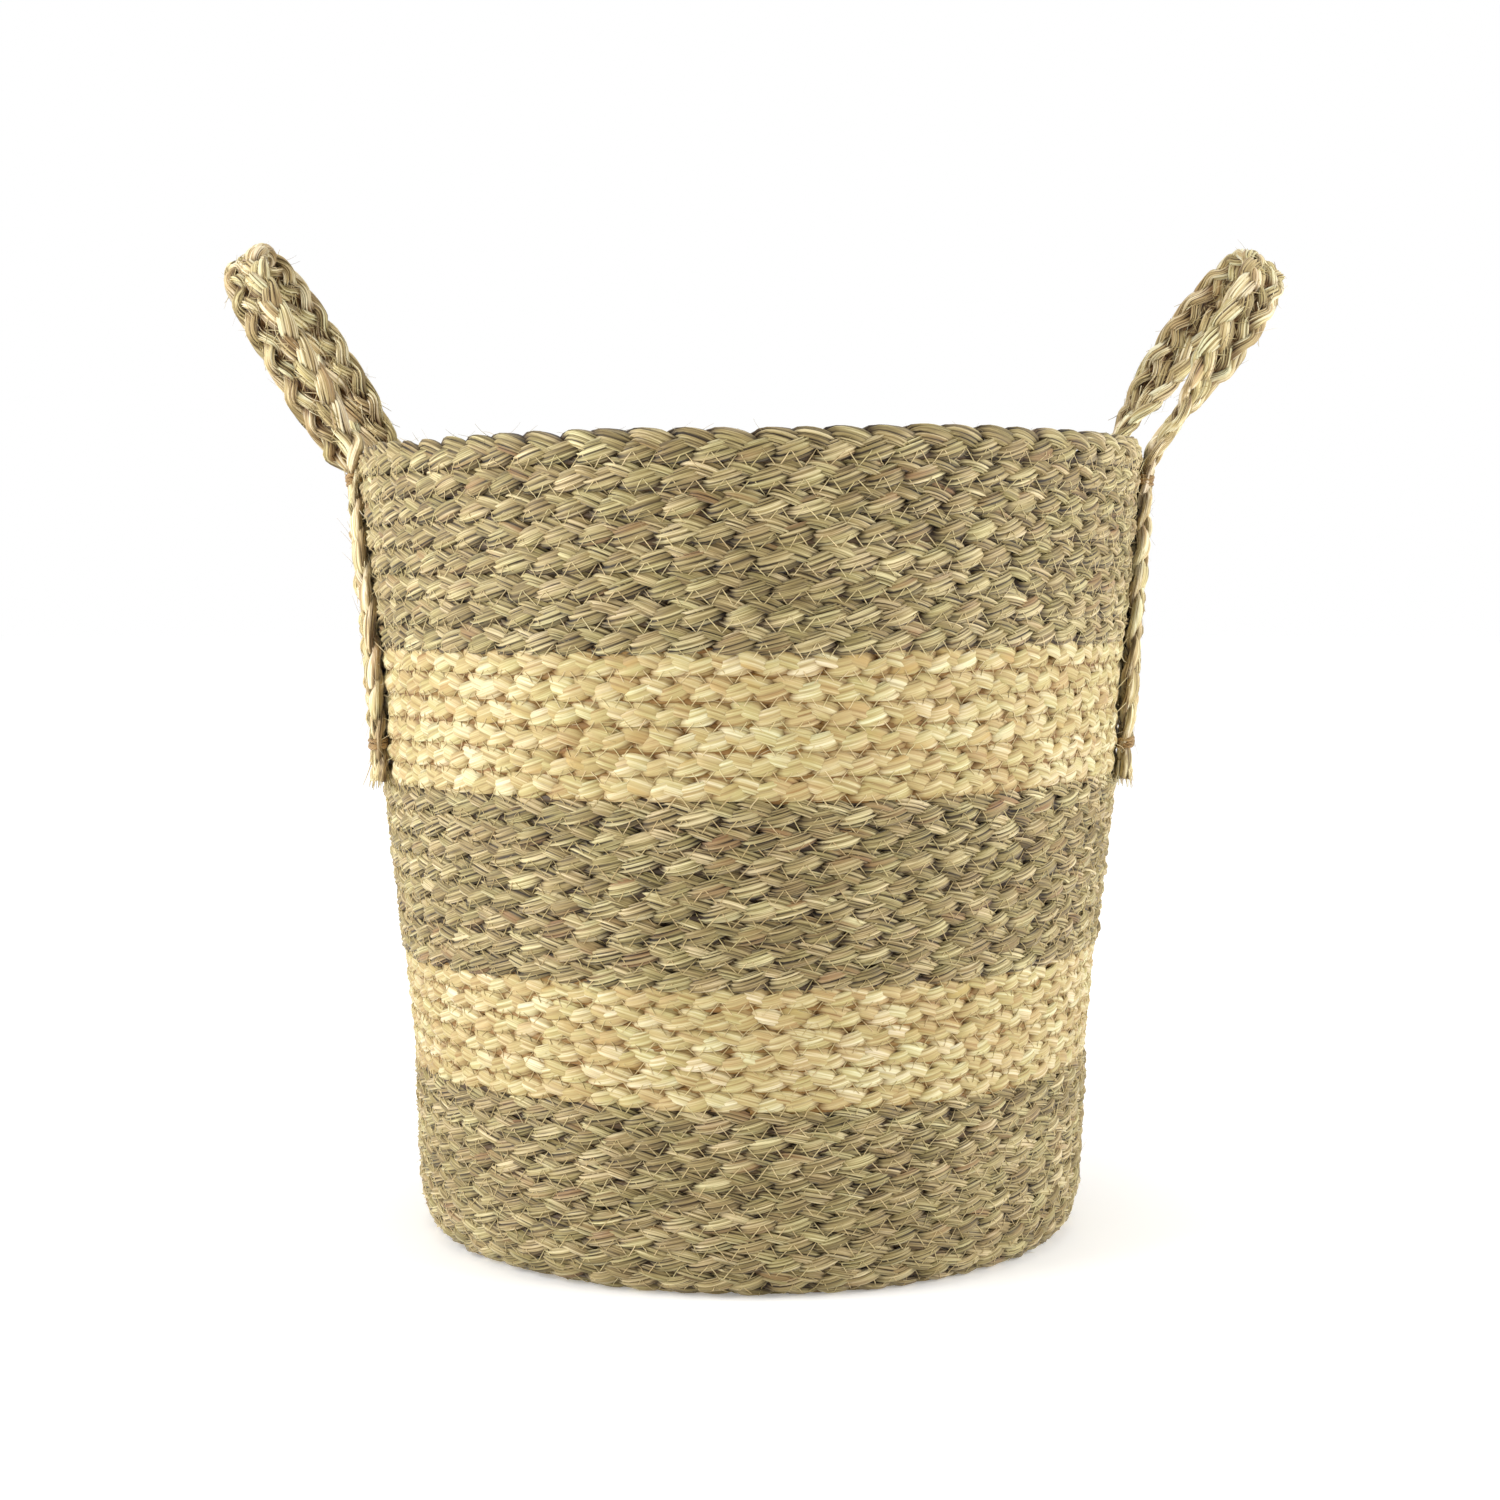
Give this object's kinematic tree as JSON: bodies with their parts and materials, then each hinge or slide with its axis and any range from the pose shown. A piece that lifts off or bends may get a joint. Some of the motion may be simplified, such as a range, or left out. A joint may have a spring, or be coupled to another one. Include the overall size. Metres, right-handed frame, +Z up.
{
  "type": "seagrass storage basket",
  "caption": "Round tapered storage basket of coiled, sewn plait in bands of seagrass and pale corn husk, with two looped strap handles.",
  "frame": {"origin": "on the floor, at the middle of the basket's underside", "axes": "+Z up out of the basket's mouth, +X through the right handle as seen from the front, -Y towards the viewer"},
  "size_m": [0.4647, 0.342, 0.4342],
  "materials": {
    "seagrass": "dry plaited seagrass, olive tan, slight sheen",
    "corn_husk": "smooth plaited corn husk, pale straw",
    "strap": "dry plaited seagrass strap",
    "lashing": "twisted seagrass, brown tan",
    "thread": "fine tan sewing thread"
  },
  "bodies": {
    "basket": {"base_spiral": "seagrass", "bottom_edge": "seagrass", "lower_seagrass_band": "seagrass", "lower_husk_band": "corn_husk", "middle_seagrass_band": "seagrass", "upper_husk_band": "corn_husk", "upper_seagrass_band": "seagrass", "left_front_leg": "strap", "left_front_upper_lashing": "lashing", "left_front_lower_lashing": "lashing", "left_rear_leg": "strap", "left_rear_upper_lashing": "lashing", "left_rear_lower_lashing": "lashing", "right_front_leg": "strap", "right_front_upper_lashing": "lashing", "right_front_lower_lashing": "lashing", "right_rear_leg": "strap", "right_rear_upper_lashing": "lashing", "right_rear_lower_lashing": "lashing"},
    "left_handle": {"left_loop": "strap"},
    "right_handle": {"right_loop": "strap"}
  },
  "joints": [
    {"name": "left_handle_bend", "type": "hinge", "parent": "basket", "child": "left_handle", "pos_m": [-0.17109, 0.01347, 0.342], "axis": [-0.0785, -0.9969, 0], "range_deg": [-75, 55]},
    {"name": "right_handle_bend", "type": "hinge", "parent": "basket", "child": "right_handle", "pos_m": [0.17034, 0.02092, 0.342], "axis": [-0.1219, 0.9925, 0], "range_deg": [-75, 55]}
  ]
}
